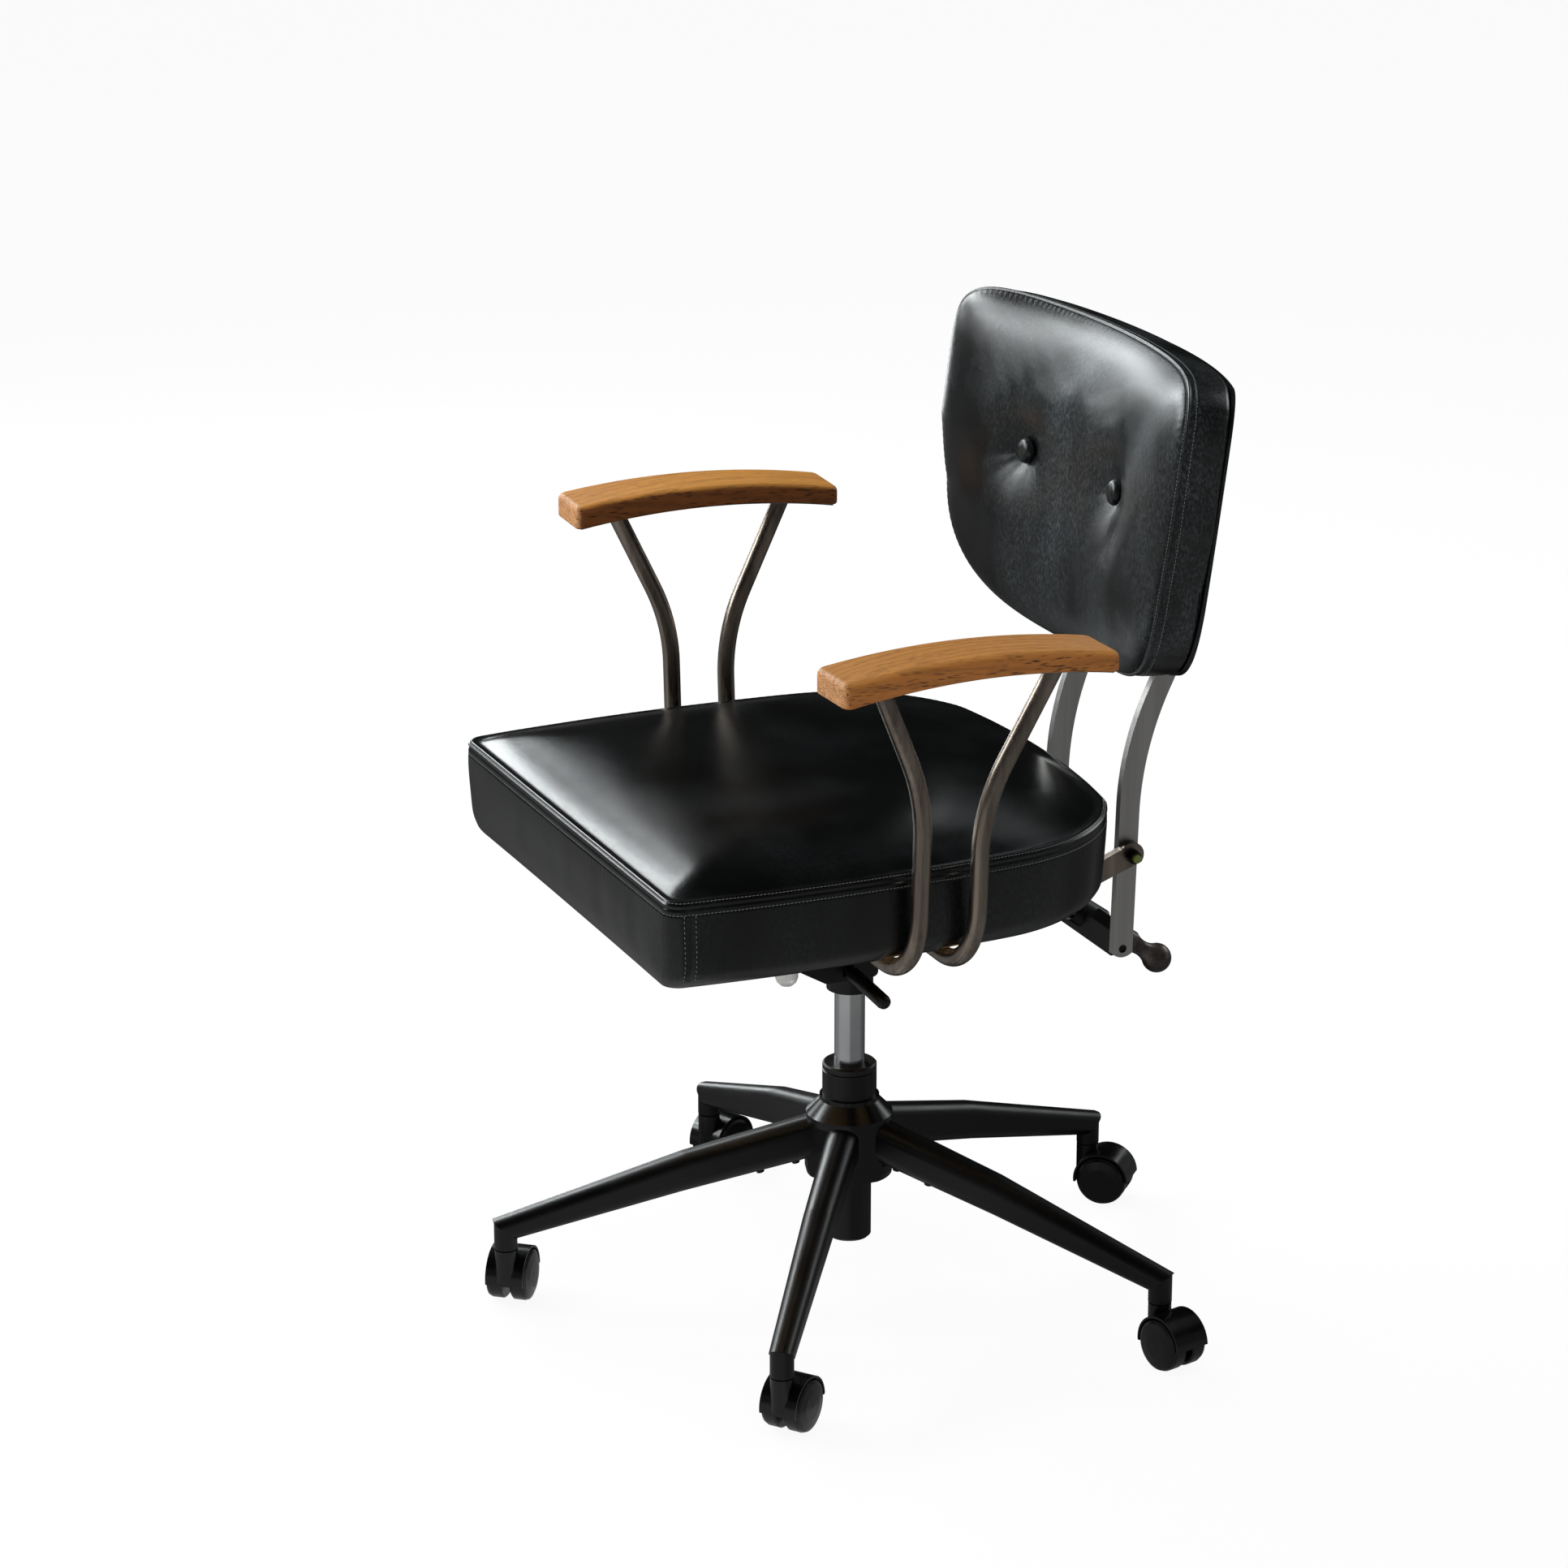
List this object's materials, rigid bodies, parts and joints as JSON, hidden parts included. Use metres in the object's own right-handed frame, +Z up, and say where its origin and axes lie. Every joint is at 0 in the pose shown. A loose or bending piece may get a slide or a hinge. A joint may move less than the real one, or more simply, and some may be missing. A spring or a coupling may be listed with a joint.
{
  "type": "office chair",
  "caption": "Office chair: five-star castor base, gas lift, upholstered seat, reclining tufted backrest on flat bars, bent-tube arms with wooden rests.",
  "frame": {"origin": "on the floor on the gas lift's axis", "axes": "+Z up along the lift, the chair faces -Y, +X is the sitter's left"},
  "size_m": [0.68, 0.6701, 0.8932],
  "materials": {
    "powder_black": "satin black powder coat on steel",
    "plastic_black": "moulded black nylon, fine texture",
    "castor_gloss": "glossy black nylon",
    "piston_chrome": "hard-chromed piston rod",
    "zinc_steel": "zinc-plated fasteners and pins",
    "clear_knob": "translucent milky polypropylene",
    "plywood": "raw birch plywood",
    "leather_black": "black coated leather with fine grain",
    "raw_steel": "raw steel under clear coat",
    "oiled_wood": "oiled hardwood, long open grain",
    "spring_steel": "oil-blackened spring steel",
    "gunmetal": "dark gunmetal lacquer"
  },
  "bodies": {
    "base": {"base_hub": "powder_black", "leg_1": "powder_black", "leg_2": "powder_black", "leg_3": "powder_black", "leg_4": "powder_black", "leg_5": "powder_black", "leg_screws": "powder_black", "column_tube": "powder_black", "column_cap": "plastic_black"},
    "lift": {"gas_piston": "piston_chrome"},
    "seat": {"mechanism_housing": "powder_black", "seat_board": "plywood", "seat_cushion": "leather_black", "arm_tube_front_left": "raw_steel", "arm_tube_rear_left": "raw_steel", "arm_tube_front_right": "raw_steel", "arm_tube_rear_right": "raw_steel", "arm_plate_left": "raw_steel", "arm_plate_right": "raw_steel", "armrest_left": "oiled_wood", "armrest_right": "oiled_wood", "arm_mounts": "powder_black", "arm_screws": "zinc_steel", "hinge_bracket_left": "raw_steel", "hinge_bracket_right": "raw_steel", "hinge_bolts": "zinc_steel", "strut_anchor": "powder_black"},
    "lever": {"lever_handle": "plastic_black"},
    "friction_knob": {"friction_knob": "clear_knob"},
    "backrest": {"upright_left": "raw_steel", "upright_right": "raw_steel", "crossbar": "powder_black", "crossbar_bolts": "zinc_steel", "back_cushion": "leather_black", "back_shell": "leather_black", "back_buttons": "leather_black"},
    "strut": {"strut_rod": "spring_steel", "strut_spring": "spring_steel"},
    "ball_knob": {"ball_knob": "gunmetal"},
    "castor_1": {"castor_hood_1": "castor_gloss", "castor_pins_1": "zinc_steel"},
    "wheel_left_1": {"wheel_left_1": "castor_gloss"},
    "wheel_right_1": {"wheel_right_1": "castor_gloss"},
    "castor_2": {"castor_hood_2": "castor_gloss", "castor_pins_2": "zinc_steel"},
    "wheel_left_2": {"wheel_left_2": "castor_gloss"},
    "wheel_right_2": {"wheel_right_2": "castor_gloss"},
    "castor_3": {"castor_hood_3": "castor_gloss", "castor_pins_3": "zinc_steel"},
    "wheel_left_3": {"wheel_left_3": "castor_gloss"},
    "wheel_right_3": {"wheel_right_3": "castor_gloss"},
    "castor_4": {"castor_hood_4": "castor_gloss", "castor_pins_4": "zinc_steel"},
    "wheel_left_4": {"wheel_left_4": "castor_gloss"},
    "wheel_right_4": {"wheel_right_4": "castor_gloss"},
    "castor_5": {"castor_hood_5": "castor_gloss", "castor_pins_5": "zinc_steel"},
    "wheel_left_5": {"wheel_left_5": "castor_gloss"},
    "wheel_right_5": {"wheel_right_5": "castor_gloss"}
  },
  "joints": [
    {"name": "height_adjust", "type": "slide", "parent": "base", "child": "lift", "axis": [0, 0, 1], "range_m": [-0.065, 0.035]},
    {"name": "seat_swivel", "type": "hinge", "parent": "lift", "child": "seat", "pos_m": [0, 0, 0.3122], "axis": [0, 0, 1], "continuous": true},
    {"name": "lever_lift", "type": "hinge", "parent": "seat", "child": "lever", "pos_m": [0.03, -0.02, 0.3336], "axis": [0, -1, 0], "range_deg": [0, 6], "stiffness_Nm_per_rad": 0.6, "springref_deg": -5.73},
    {"name": "friction_knob_turn", "type": "hinge", "parent": "seat", "child": "friction_knob", "pos_m": [0, -0.063, 0.3222], "axis": [0, 0, 1], "continuous": true},
    {"name": "recline", "type": "hinge", "parent": "seat", "child": "backrest", "pos_m": [0, 0.2433, 0.4184], "axis": [-1, 0, 0], "range_deg": [0, 15], "stiffness_Nm_per_rad": 120, "springref_deg": -8.59},
    {"name": "strut_swing", "type": "hinge", "parent": "seat", "child": "strut", "pos_m": [0, 0.162, 0.39132], "axis": [-1, 0, 0], "range_deg": [-0.2, 7.54], "deforming": ["strut_spring"]},
    {"name": "ball_knob_turn", "type": "hinge", "parent": "strut", "child": "ball_knob", "pos_m": [0, 0.2413, 0.3337], "axis": [0, 0.809, -0.5878], "continuous": true},
    {"name": "castor_1_swivel", "type": "hinge", "parent": "base", "child": "castor_1", "pos_m": [0.26065, -0.18251, 0.0572], "axis": [0, 0, 1], "continuous": true},
    {"name": "wheel_left_1_spin", "type": "hinge", "parent": "castor_1", "child": "wheel_left_1", "pos_m": [0.2497, -0.16798, 0.0243], "axis": [-0.7986, -0.6018, 0], "continuous": true},
    {"name": "wheel_right_1_spin", "type": "hinge", "parent": "castor_1", "child": "wheel_right_1", "pos_m": [0.2497, -0.16798, 0.0243], "axis": [-0.7986, -0.6018, 0], "continuous": true},
    {"name": "castor_2_swivel", "type": "hinge", "parent": "base", "child": "castor_2", "pos_m": [0.25413, 0.1915, 0.0572], "axis": [0, 0, 1], "continuous": true},
    {"name": "wheel_left_2_spin", "type": "hinge", "parent": "castor_2", "child": "wheel_left_2", "pos_m": [0.27178, 0.1959, 0.0243], "axis": [-0.2419, 0.9703, 0], "continuous": true},
    {"name": "wheel_right_2_spin", "type": "hinge", "parent": "castor_2", "child": "wheel_right_2", "pos_m": [0.27178, 0.1959, 0.0243], "axis": [-0.2419, 0.9703, 0], "continuous": true},
    {"name": "castor_3_swivel", "type": "hinge", "parent": "base", "child": "castor_3", "pos_m": [-0.1036, 0.30086, 0.0572], "axis": [0, 0, 1], "continuous": true},
    {"name": "wheel_left_3_spin", "type": "hinge", "parent": "castor_3", "child": "wheel_left_3", "pos_m": [-0.09118, 0.31417, 0.0243], "axis": [-0.7314, 0.682, 0], "continuous": true},
    {"name": "wheel_right_3_spin", "type": "hinge", "parent": "castor_3", "child": "wheel_right_3", "pos_m": [-0.09118, 0.31417, 0.0243], "axis": [-0.7314, 0.682, 0], "continuous": true},
    {"name": "castor_4_swivel", "type": "hinge", "parent": "base", "child": "castor_4", "pos_m": [-0.31815, -0.00555, 0.0572], "axis": [0, 0, 1], "continuous": true},
    {"name": "wheel_left_4_spin", "type": "hinge", "parent": "castor_4", "child": "wheel_left_4", "pos_m": [-0.32584, 0.01094, 0.0243], "axis": [-0.9063, -0.4226, 0], "continuous": true},
    {"name": "wheel_right_4_spin", "type": "hinge", "parent": "castor_4", "child": "wheel_right_4", "pos_m": [-0.32584, 0.01094, 0.0243], "axis": [-0.9063, -0.4226, 0], "continuous": true},
    {"name": "castor_5_swivel", "type": "hinge", "parent": "base", "child": "castor_5", "pos_m": [-0.09303, -0.3043, 0.0572], "axis": [0, 0, 1], "continuous": true},
    {"name": "wheel_left_5_spin", "type": "hinge", "parent": "castor_5", "child": "wheel_left_5", "pos_m": [-0.10718, -0.29284, 0.0243], "axis": [-0.6293, -0.7771, 0], "continuous": true},
    {"name": "wheel_right_5_spin", "type": "hinge", "parent": "castor_5", "child": "wheel_right_5", "pos_m": [-0.10718, -0.29284, 0.0243], "axis": [-0.6293, -0.7771, 0], "continuous": true}
  ],
  "couplings": [
    {"joint": "strut_swing", "follows": "recline", "ratio": 0.4894}
  ]
}
